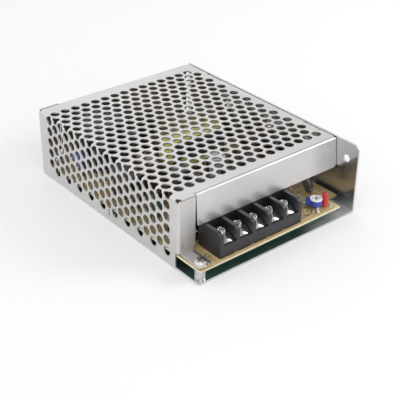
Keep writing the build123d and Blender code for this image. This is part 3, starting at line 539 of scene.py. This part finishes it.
def sheet(name, outline, holes, discs, t, ease, cuts, place):
    """A sheet with eased edges, laid out flat in (u, v), cut at the bend lines and then folded by place(u, v, w)."""
    if area(outline) < 0:
        outline = outline[::-1]
    loops = [outline]
    for h in holes:
        loops.append(h if area(h) < 0 else h[::-1])
    for (u, v, r) in discs:
        loops.append(circle(u, v, r)[::-1])
    steps = [(ease, t / 2), (ease * 0.3, t / 2 - ease * 0.3), (0.0, t / 2 - ease), (0.0, -t / 2 + ease), (ease * 0.3, -t / 2 + ease * 0.3), (ease, -t / 2)]
    coords, edges = [], []
    for lp in loops:
        ring = inset(lp, ease)
        s = len(coords)
        coords += [Vector(q) for q in ring]
        edges += [(s + i, s + (i + 1) % len(ring)) for i in range(len(ring))]
    vs, _, tris, _, _, _ = geometry.delaunay_2d_cdt(coords, edges, [], 0, 1e-5)
    # keep the triangles that lie in the sheet
    cell = 4.0
    grid = {}
    for d in discs:
        for gx in range(int((d[0] - d[2]) // cell), int((d[0] + d[2]) // cell) + 1):
            for gy in range(int((d[1] - d[2]) // cell), int((d[1] + d[2]) // cell) + 1):
                grid.setdefault((gx, gy), []).append(d)
    small = [inset(h if area(h) < 0 else h[::-1], ease) for h in holes]
    big = inset(outline, ease)
    keep = []
    for tri in tris:
        c = sum((vs[i] for i in tri), Vector((0, 0))) / 3
        out = False
        for (u, v, r) in grid.get((int(c.x // cell), int(c.y // cell)), []):
            if (c.x - u) ** 2 + (c.y - v) ** 2 < ((r + ease) * 0.9885) ** 2:
                out = True
                break
        if out or any(inside(c, h) for h in small) or not inside(c, big):
            continue
        keep.append(tri)
    bm = bmesh.new()
    face_top = [bm.verts.new((q.x, q.y, t / 2)) for q in vs]
    face_bot = [bm.verts.new((q.x, q.y, -t / 2)) for q in vs]
    for tri in keep:
        bm.faces.new([face_top[i] for i in tri])
        bm.faces.new([face_bot[i] for i in reversed(tri)])
    # walls of every loop
    base = 0
    for lp in loops:
        n = len(lp)
        rings = [[face_top[base + i] for i in range(n)]]
        for off, w in steps[1:-1]:
            flat = inset(lp, off) if off else lp
            rings.append([bm.verts.new((q[0], q[1], w)) for q in flat])
        rings.append([face_bot[base + i] for i in range(n)])
        for r0, r1 in zip(rings, rings[1:]):
            for i in range(n):
                j = (i + 1) % n
                bm.faces.new((r0[j], r0[i], r1[i], r1[j]))
        base += n
    bmesh.ops.delete(bm, geom=[v for v in bm.verts if not v.link_faces], context="VERTS")
    bmesh.ops.recalc_face_normals(bm, faces=bm.faces)
    for axis, val in cuts:
        no = (1, 0, 0) if axis == "u" else (0, 1, 0)
        bmesh.ops.bisect_plane(bm, geom=bm.verts[:] + bm.edges[:] + bm.faces[:], plane_co=(val, val, 0), plane_no=no, dist=1e-6)
    bmesh.ops.triangulate(bm, faces=[f for f in bm.faces if len(f.verts) > 4])
    bm.verts.index_update()
    bm.faces.index_update()
    skin = [min(v.co.z for v in f.verts) > t / 2 - 1e-4 or max(v.co.z for v in f.verts) < -t / 2 + 1e-4 for f in bm.faces]
    blank = [tuple(v.co) for v in bm.verts]
    for v in bm.verts:
        v.co = P(*place(v.co.x, v.co.y, v.co.z))
    if bm.calc_volume(signed=True) < 0:
        bmesh.ops.reverse_faces(bm, faces=bm.faces)
    me = bpy.data.meshes.new(name)
    bm.to_mesh(me)
    bm.free()
    finish_normals(me)
    # both skins take the exact direction of the folded sheet, the eased rims their own
    across, normals = {}, []
    for poly in me.polygons:
        face_n = poly.normal
        for vi in poly.vertices:
            if not skin[poly.index]:
                normals.append((0.0, 0.0, 0.0))
                continue
            if vi not in across:
                u, v, w = blank[vi]
                across[vi] = (Vector(place(u, v, w + 0.05)) - Vector(place(u, v, w - 0.05))).normalized()
            n = across[vi]
            normals.append(tuple(n) if n.dot(face_n) > 0 else tuple(-n))
    me.normals_split_custom_set(normals)
    return bpy.data.objects.new(name, me)


def arc_cuts(axis, start, length, n=8):
    return [(axis, start + length * i / n) for i in range(n + 1)]


# ---- perforated cover, folded from one flat blank
T, RI = 0.8, 0.5
RO, RM = RI + T, RI + T / 2
A = RM * math.pi / 2
LEAN = math.radians(5.5)
AL = RM * (math.pi / 2 - LEAN)
YF = 14.4
V0, V1 = YF + RO, L - RO
ZB = 7.3
ZF = ZB + RO
HI = H - RO


def uz(z):
    return z - HI - A + RO


def cover_place(u, v, w):
    if v < V0 and u < 0.7:                       # front corner strip and its foot
        q = V0 - v
        z = u + HI + A - RO
        if z >= ZF:
            if q < A:
                th = q / RM
                return RO - (RM + w) * math.cos(th), V0 - (RM + w) * math.sin(th), z
            return RO + q - A, YF + T / 2 - w, z
        p = ZF - z
        x = RO + q - A
        if q < A and z > 7.5:
            th = q / RM
            if v > 13.99:
                return RO - (RM + w) * math.cos(th), V0 - (RM + w) * math.sin(th), z
        if p < A:
            th = p / RM
            return x, YF - RI + (RM - w) * math.cos(th), ZF - (RM - w) * math.sin(th)
        return x, YF - RI - (p - A), ZB + T / 2 + w
    if v > V1 and u < 1.25:                      # rear corner strip and its foot
        q = v - V1
        z = u + HI + A - RO
        if z >= ZF or v < 129.5:
            if q < A:
                th = q / RM
                return RO - (RM + w) * math.cos(th), V1 + (RM + w) * math.sin(th), z
            return RO + q - A, L - T / 2 + w, z
        p = ZF - z
        x = RO + q - A
        if p < A:
            th = p / RM
            return x, V1 + (RM + w) * math.cos(th), ZF - (RM + w) * math.sin(th)
        return x, V1 - (p - A), ZB + T / 2 - w
    if v < V0 and u > 9.9:                       # front lip, lower edge leaning forward
        q = V0 - v
        if q < AL:
            th = q / RM
            return u, V0 - (RM + w) * math.sin(th), HI + (RM + w) * math.cos(th)
        c, s = math.cos(LEAN), math.sin(LEAN)
        return u, V0 - (RM + w) * c - (q - AL) * s, HI + (RM + w) * s - (q - AL) * c
    if v > V1 and 12.0 < u < 95.6:               # rear wall
        q = v - V1
        if q < A:
            th = q / RM
            return u, V1 + (RM + w) * math.sin(th), HI + (RM + w) * math.cos(th)
        return u, L - T / 2 + w, HI - (q - A)
    if u > 95.65 and (24.95 < v < 35.05 or 99.95 < v < 110.05):   # side tabs
        q = u - 95.65
        if q < A:
            th = q / RM
            return 95.65 + (RM + w) * math.sin(th), v, HI + (RM + w) * math.cos(th)
        return 95.65 + RM + w, v, HI - (q - A)
    s = RO - u
    if s <= 0:
        return u, v, H - T / 2 + w
    if s < A:
        th = s / RM
        return RO - (RM + w) * math.sin(th), v, HI + (RM + w) * math.cos(th)
    return T / 2 - w, v, HI - (s - A)


lip_v = V0 - AL - 14.5
back_v = V1 + A + (HI - 2.0)
tab_u = 95.65 + A + (HI - 25.5)
fx = lambda x: V0 - (x - RO + A)
bx = lambda x: V1 + (x - RO + A)
fy = lambda y: ZF - A - (YF - RI - y) - (HI + A - RO)
outline = [(uz(0.3), 16.6), (uz(8.4), 16.6), (uz(8.4), fx(1.6)), (fy(8.0), fx(1.6)), (fy(7.4), fx(1.25)), (fy(2.3), fx(1.25)), (fy(1.7), fx(1.5)),
           (fy(1.45), fx(2.1)), (fy(1.45), fx(7.9)), (fy(1.7), fx(8.5)), (fy(2.3), fx(8.7)), (uz(9.9), fx(8.7)), (uz(9.9), fx(9.7)),
           (uz(35.0), fx(9.7)), (uz(35.0), 14.5), (-0.45, 15.1), (-0.62, 15.9), (-0.25, 16.6), (0.5, 16.9), (1.3, 16.7), (1.95, 16.1), (2.2, 15.3), (2.15, 14.5),
           (9.7, 14.5), (9.7, 16.3), (10.1, 16.3), (10.1, lip_v + 0.3), (10.4, lip_v), (94.8, lip_v), (95.6, lip_v + 0.2), (96.3, lip_v + 0.6), (96.7, lip_v + 1.3), (96.8, lip_v + 2.2),
           (96.8, 14.6), (96.3, 14.9), (96.1, 15.5), (96.3, 16.0), (96.6, 16.3),
           (96.6, 24.4), (95.2, 24.4), (95.2, 25.0), (tab_u - 1.0, 25.0), (tab_u, 26.0), (tab_u, 34.0), (tab_u - 1.0, 35.0), (95.2, 35.0), (95.2, 35.6), (96.6, 35.6),
           (96.6, 99.4), (95.2, 99.4), (95.2, 100.0), (tab_u - 1.0, 100.0), (tab_u, 101.0), (tab_u, 109.0), (tab_u - 1.0, 110.0), (95.2, 110.0), (95.2, 110.6), (96.6, 110.6),
           (96.6, V1), (95.4, V1), (95.4, back_v - 0.3), (95.1, back_v), (12.5, back_v), (12.2, back_v - 0.3), (12.2, 127.1), (11.8, 127.1), (11.8, 127.6), (1.55, 127.6),
           (1.5, 127.3), (1.3, 127.1), (0.5, 126.8), (-0.2, 127.1), (-0.45, 127.9), (uz(35.95), 128.7), (uz(35.95), bx(11.8)), (uz(9.9), bx(11.8)), (uz(9.9), bx(9.4)),
           (ZF - A - 9.1 - (HI + A - RO), bx(9.4)), (ZF - A - 9.1 - (HI + A - RO), bx(2.0)), (uz(9.2), bx(2.0)), (uz(9.2), 129.2), (uz(1.3), 129.2), (uz(1.3), V1), (uz(0.3), V1 - 0.3)]
holes = [[(uz(2.5), 67.7), (uz(6.7), 67.7), (uz(6.7), 68.3), (uz(2.5), 68.3)],
         [(uz(10.6), fx(2.25)), (uz(11.6), fx(2.6)), (uz(12.8), fx(2.75)), (uz(12.8), fx(2.4)), (uz(11.6), fx(2.25)), (uz(10.6), fx(1.95))]]
discs = []
for r in range(20):
    y = 118.7 - r * 5.05
    odd = r % 2
    for k in range(15):
        discs.append((3.8 + (3.02 if odd else 0) + 6.04 * k, y, 2.3))
    for k in range(5):
        discs.append((uz(33.5 - 6.04 * k - (3.02 if odd else 0)), y, 2.3))
    if odd:
        discs.append((0.78, y, 2.3))
discs += [(fy(3.3), fx(3.4), 1.7), (ZF - A - (V1 - 122.4) - (HI + A - RO), bx(5.2), 1.7), (95.65 + A + HI - 30.0, 30.0, 1.5), (95.65 + A + HI - 30.0, 105.0, 1.5),
          (uz(15.4), fx(2.25), 0.33)]
cuts = (arc_cuts("u", RO - A, A) + arc_cuts("v", V0 - A, A) + [("v", V0 - AL)] + arc_cuts("v", V1, A) + arc_cuts("u", uz(ZF) - A, A, 6) + arc_cuts("u", 95.65, A, 6))
cover = sheet("cover_shell", outline, holes, discs, T, 0.10, cuts, cover_place)
link(cover, "case", M_COVER, ["perforated_cover"])

# ---- chassis
TC, RCI = 1.0, 0.5
RCO, RCM = 1.5, 1.0
AC = RCM * math.pi / 2


def chassis_place(u, v, w):
    s = u - (W - RCO)
    if s <= 0:
        return u, v, TC / 2 - w
    if s < AC:
        th = s / RCM
        return W - RCO + (RCM + w) * math.sin(th), v, RCO - (RCM + w) * math.cos(th)
    return W - TC / 2 + w, v, RCO + s - AC


cu = lambda z: W - RCO + AC + z - RCO
outline = [(0.0, 0.3), (0.3, 0.0), (cu(34.2), 0.0), (cu(34.6), 0.15), (cu(36.1), 2.3), (cu(36.2), 2.8), (cu(36.2), 128.6), (cu(35.9), 128.9), (cu(1.5), 128.9), (W - RCO, 129.0),
           (0.9, 129.0), (0.9, 16.4), (0.0, 16.4)]
discs = [(cu(27.4), 7.1, 1.9), (cu(30.0), 30.0, 2.55), (cu(30.0), 105.0, 2.55), (3.4, 3.3, 2.1), (90.0, 34.0, 2.1), (5.2, 122.4, 2.1), (90.0, 122.4, 2.1)]
discs += [(x, y, 1.65) for x in (10.5, 87.5) for y in (12.0, 117.0)]
chassis = sheet("chassis_shell", outline, [], discs, TC, 0.12, arc_cuts("u", W - RCO, AC, 10), chassis_place)
link(chassis, "case", M_CHASSIS, ["chassis"])

# left clip of the base
bm = bmesh.new()
bmesh.ops.create_cube(bm, size=1.0)
for v in bm.verts:
    v.co = P(1.4 + v.co.x * 0.98, 68.0 + v.co.y * 8.0, 2.95 + v.co.z * 4.1)
bmesh.ops.bevel(bm, geom=bm.edges[:], offset=0.15 * MM, segments=2, affect="EDGES")
me = bpy.data.meshes.new("base_clip")
bm.to_mesh(me)
bm.free()
finish_normals(me)
link(bpy.data.objects.new("base_clip", me), "case", M_CHASSIS)



# ---- printed marks and small joints on the open ledge of the board
def mark(name, outline_, holes_, mat, t=0.05):
    o = sheet(name, outline_, holes_, [], t, 0.012, [], lambda u, v, w: (u, v, 7.3 + t / 2 + 0.002 + w))
    return link(o, "case", mat)


def arc_band(x, y, r0, r1, a0, a1, n=14):
    ang = [math.radians(a0 + (a1 - a0) * i / n) for i in range(n + 1)]
    return [(x + r1 * math.cos(t_), y + r1 * math.sin(t_)) for t_ in ang] + [(x + r0 * math.cos(t_), y + r0 * math.sin(t_)) for t_ in reversed(ang)]


mark("print_ring_a", circle(73.2, 6.4, 1.35), [circle(73.2, 6.4, 0.85)], M_INK)
mark("print_ring_a_pad", circle(73.2, 6.4, 0.55), [], M_PRINT)
mark("print_arc_a", arc_band(73.2, 6.4, 2.0, 2.35, 100, 330), [], M_PRINT)
mark("print_arc_b", arc_band(69.6, 6.2, 2.15, 2.65, 215, 300), [], M_INK)
mark("print_ring_b", circle(10.9, 7.3, 1.25), [circle(10.9, 7.3, 0.8)], M_INK)
mark("print_ring_b_pad", circle(10.9, 7.3, 0.42), [], M_PRINT)
mark("print_line_a", [(9.2, 12.9), (9.2, 1.0), (9.45, 1.0), (9.45, 12.9)], [], M_PRINT)
mark("print_line_b", [(12.35, 12.0), (12.35, 1.2), (12.6, 1.2), (12.6, 12.0)], [], M_PRINT)
mark("print_line_c", [(64.6, 2.2), (70.4, 2.2), (70.4, 2.45), (64.85, 2.45), (64.85, 5.0), (64.6, 5.0)], [], M_PRINT)
mark("print_line_d", [(84.9, 1.6), (86.7, 1.6), (86.7, 6.6), (84.9, 6.6)], [[(85.1, 1.8), (85.1, 6.4), (86.5, 6.4), (86.5, 1.8)]], M_PRINT)
mark("print_line_e", [(79.0, 13.2), (88.6, 13.2), (88.6, 24.0), (79.0, 24.0)], [[(79.25, 13.45), (79.25, 23.75), (88.35, 23.75), (88.35, 13.45)]], M_PRINT)
for i, (x, y, r) in enumerate(((72.2, 4.0, 0.5), (74.2, 3.3, 0.45), (76.7, 2.6, 0.45), (73.2, 9.5, 0.55), (66.8, 13.4, 0.5), (69.0, 15.5, 0.5), (84.4, 11.5, 0.45))):
    mark("print_dot_%d" % (i + 1), circle(x, y, r), [], M_INK)


def joint_blob(name, x, y, r, h):
    # a small rounded solder joint, turned round its own axis
    prof = [(r, 0.0), (r * 0.96, h * 0.22), (r * 0.72, h * 0.55), (r * 0.42, h * 0.85), (r * 0.18, h)]
    bm_ = bmesh.new()
    rings = [[bm_.verts.new(P(x + pr * math.cos(2 * math.pi * i / 20), y + pr * math.sin(2 * math.pi * i / 20), 7.302 + pz)) for i in range(20)] for pr, pz in prof]
    for r0, r1 in zip(rings, rings[1:]):
        for i in range(20):
            bm_.faces.new((r0[i], r0[(i + 1) % 20], r1[(i + 1) % 20], r1[i]))
    bm_.faces.new(rings[0][::-1])
    bm_.faces.new(rings[-1])
    bmesh.ops.recalc_face_normals(bm_, faces=bm_.faces)
    me_ = bpy.data.meshes.new(name)
    bm_.to_mesh(me_)
    bm_.free()
    finish_normals(me_)
    return link(bpy.data.objects.new(name, me_), "case", M_SOLDER)


joint_blob("joint_a", 83.9, 3.0, 0.55, 0.5)
joint_blob("joint_b", 84.5, 5.4, 0.5, 0.45)
joint_blob("joint_c", 85.6, 4.3, 0.42, 0.4)

for name, obj in NODES.items():
    if name in ("perforated_cover", "chassis"):
        continue
    refine(obj, BEVEL.get(name, 0.0))

# ---------------------------------------------------------------------- stage
floor_me = bpy.data.meshes.new("floor")
floor_me.from_pydata([(-3, -3, -0.0001), (3, -3, -0.0001), (3, 3, -0.0001), (-3, 3, -0.0001)], [], [(0, 1, 2, 3)])
floor = bpy.data.objects.new("floor", floor_me)
bpy.context.scene.collection.objects.link(floor)
fm = Mat("floor_white")
fm.set(color=(0.80, 0.80, 0.80), rough=0.9, emit=(1.0, 1.0, 1.0), emit_s=0.10, spec=0.0)
floor_me.materials.append(fm.m)

world = bpy.data.worlds.new("studio")
bpy.context.scene.world = world
world.use_nodes = True
wt = world.node_tree
bg = wt.nodes["Background"]
tc = wt.nodes.new("ShaderNodeTexCoord")
sep = wt.nodes.new("ShaderNodeSeparateXYZ")
wt.links.new(tc.outputs["Generated"], sep.inputs[0])
az = wt.nodes.new("ShaderNodeMath")
az.operation = "ARCTAN2"
wt.links.new(sep.outputs["X"], az.inputs[0])
wt.links.new(sep.outputs["Y"], az.inputs[1])
mr = wt.nodes.new("ShaderNodeMapRange")
mr.interpolation_type = "SMOOTHSTEP"
mr.inputs["From Min"].default_value = math.radians(43.0)
mr.inputs["From Max"].default_value = math.radians(58.0)
mr.inputs["To Min"].default_value = 1.0
mr.inputs["To Max"].default_value = 0.5
wt.links.new(az.outputs[0], mr.inputs["Value"])
el = wt.nodes.new("ShaderNodeMapRange")
el.inputs["From Min"].default_value = 0.0
el.inputs["From Max"].default_value = 0.9
el.inputs["To Min"].default_value = 1.38
el.inputs["To Max"].default_value = 0.98
wt.links.new(sep.outputs["Z"], el.inputs["Value"])
mul = wt.nodes.new("ShaderNodeMath")
mul.operation = "MULTIPLY"
wt.links.new(mr.outputs["Result"], mul.inputs[0])
wt.links.new(el.outputs["Result"], mul.inputs[1])
bg.inputs["Color"].default_value = (1.0, 1.0, 1.0, 1.0)
wt.links.new(mul.outputs[0], bg.inputs["Strength"])


def area_light(name, loc, aim, size, power):
    d = bpy.data.lights.new(name, "AREA")
    d.shape = "RECTANGLE"
    d.size, d.size_y = size
    d.energy = power
    o = bpy.data.objects.new(name, d)
    o.location = loc
    o.rotation_euler = (Vector(aim) - Vector(loc)).to_track_quat("-Z", "Y").to_euler()
    bpy.context.scene.collection.objects.link(o)


area_light("key", (0.80, -0.62, 0.56), (0, 0, 0), (0.42, 0.42), 4.0)
area_light("fill", (-0.30, -0.90, 0.90), (0, 0, 0), (1.2, 1.2), 3.0)

# --------------------------------------------------------------------- camera
ca, ce, cr = math.radians(-39.640), math.radians(31.053), math.radians(0.678)
fwd = Vector((-math.sin(ca) * math.cos(ce), math.cos(ca) * math.cos(ce), -math.sin(ce)))
right = Vector((math.cos(ca), math.sin(ca), 0.0))
upv = right.cross(fwd)
cx = right * math.cos(cr) + upv * math.sin(cr)
cy = -right * math.sin(cr) + upv * math.cos(cr)
cam_data = bpy.data.cameras.new("camera")
cam_data.lens = 942.3 / 400.0 * 36.0
cam_data.sensor_width = 36.0
cam_data.clip_start = 0.01
cam = bpy.data.objects.new("camera", cam_data)
rot = Matrix((cx, cy, -fwd)).transposed()
cam.matrix_world = Matrix.Translation(P(-210.97, -254.80, 242.74)) @ rot.to_4x4()
bpy.context.scene.collection.objects.link(cam)
bpy.context.scene.camera = cam
bpy.context.scene.view_settings.view_transform = "Standard"
